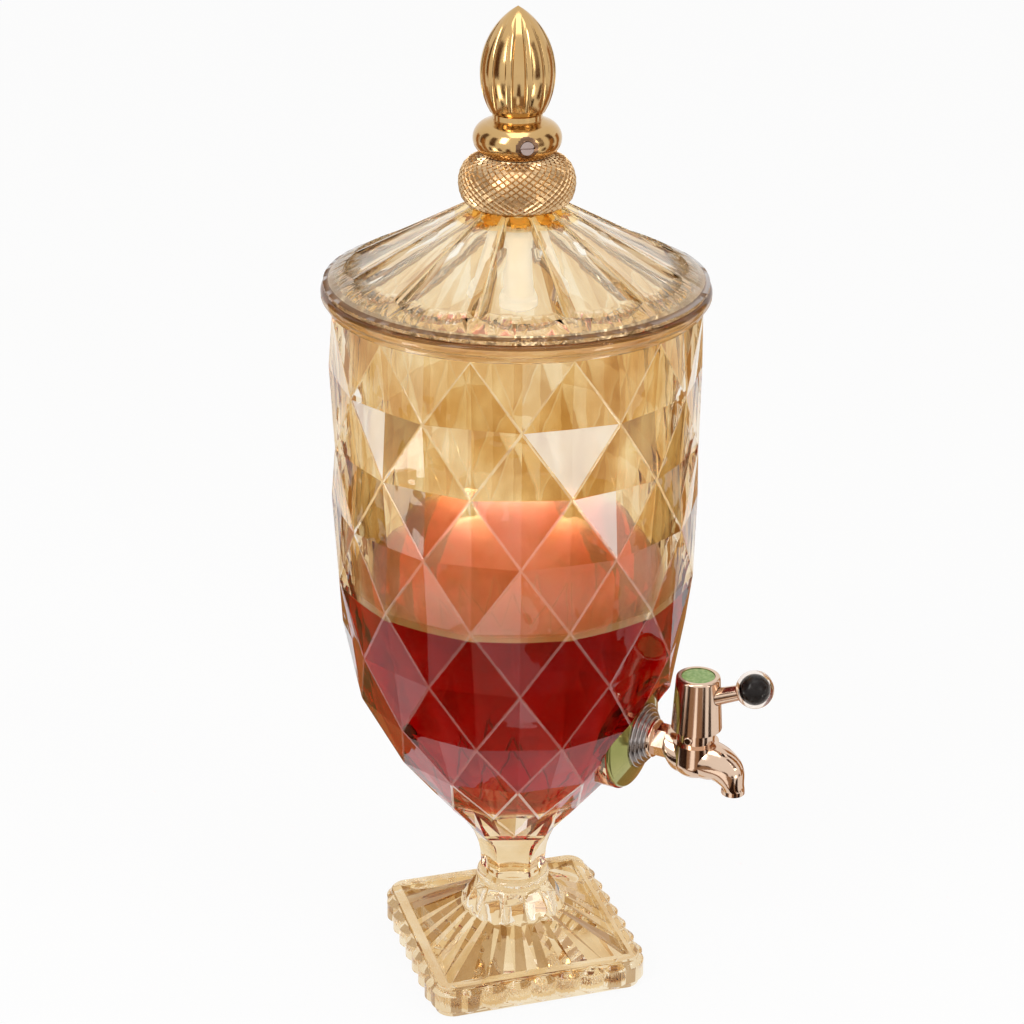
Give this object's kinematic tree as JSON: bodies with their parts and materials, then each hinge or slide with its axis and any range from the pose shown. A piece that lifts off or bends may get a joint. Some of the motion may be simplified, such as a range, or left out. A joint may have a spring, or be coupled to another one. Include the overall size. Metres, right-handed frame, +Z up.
{
  "type": "juice dispenser",
  "caption": "Footed glass drink dispenser with a diamond-pressed bowl, fluted lift-off lid, plated finial and a quarter-turn lever tap.",
  "frame": {"origin": "centre of the foot's underside, where the vessel's upright axis meets the table", "axes": "+Z up along the vessel's axis; -Y is the way the tap points; +X is to the right of someone who faces the tap"},
  "size_m": [0.2, 0.2512, 0.5398],
  "materials": {
    "amber_glass": "pressed amber lustre glass, glossy",
    "clear_adhesive": "clear cured adhesive",
    "gold_plate": "pale gold plating, polished",
    "rose_gold_plate": "rose gold plating, polished",
    "nickel_plate": "satin nickel plating",
    "steel": "plain steel",
    "white_plastic": "off-white moulded plastic",
    "olive_silicone": "translucent olive silicone, glossy",
    "seal_rubber": "black rubber",
    "green_enamel": "plain green disc, slightly mottled",
    "clear_plastic": "clear cast ball with a warm tint",
    "black_plastic": "glossy black"
  },
  "bodies": {
    "vessel": {"foot": "amber_glass", "foot_bond": "clear_adhesive", "bowl": "amber_glass", "tap_gasket": "olive_silicone", "tap_washer": "nickel_plate", "inner_gasket": "olive_silicone", "lock_nut": "rose_gold_plate", "tap_body": "rose_gold_plate", "bonnet_ring": "rose_gold_plate", "bonnet_pin": "rose_gold_plate"},
    "lid": {"lid": "amber_glass", "finial_ball": "gold_plate", "finial_ring": "gold_plate", "finial_set_screw": "steel", "finial_bud": "gold_plate", "finial_stud": "steel", "crown_washer": "white_plastic", "cup_nut": "white_plastic"},
    "handle": {"tap_cap": "rose_gold_plate", "valve_plug": "white_plastic", "plug_seals": "seal_rubber", "cap_screw": "steel", "cap_disc": "green_enamel", "lever": "rose_gold_plate", "lever_ball": "clear_plastic", "lever_ball_core": "black_plastic"}
  },
  "joints": [
    {"name": "lid_lift", "type": "slide", "parent": "vessel", "child": "lid", "axis": [0, 0, 1], "range_m": [0, 0.12]},
    {"name": "tap_turn", "type": "hinge", "parent": "vessel", "child": "handle", "pos_m": [0, -0.1092, 0.17], "axis": [0, 0, 1], "range_deg": [-90, 0]}
  ]
}
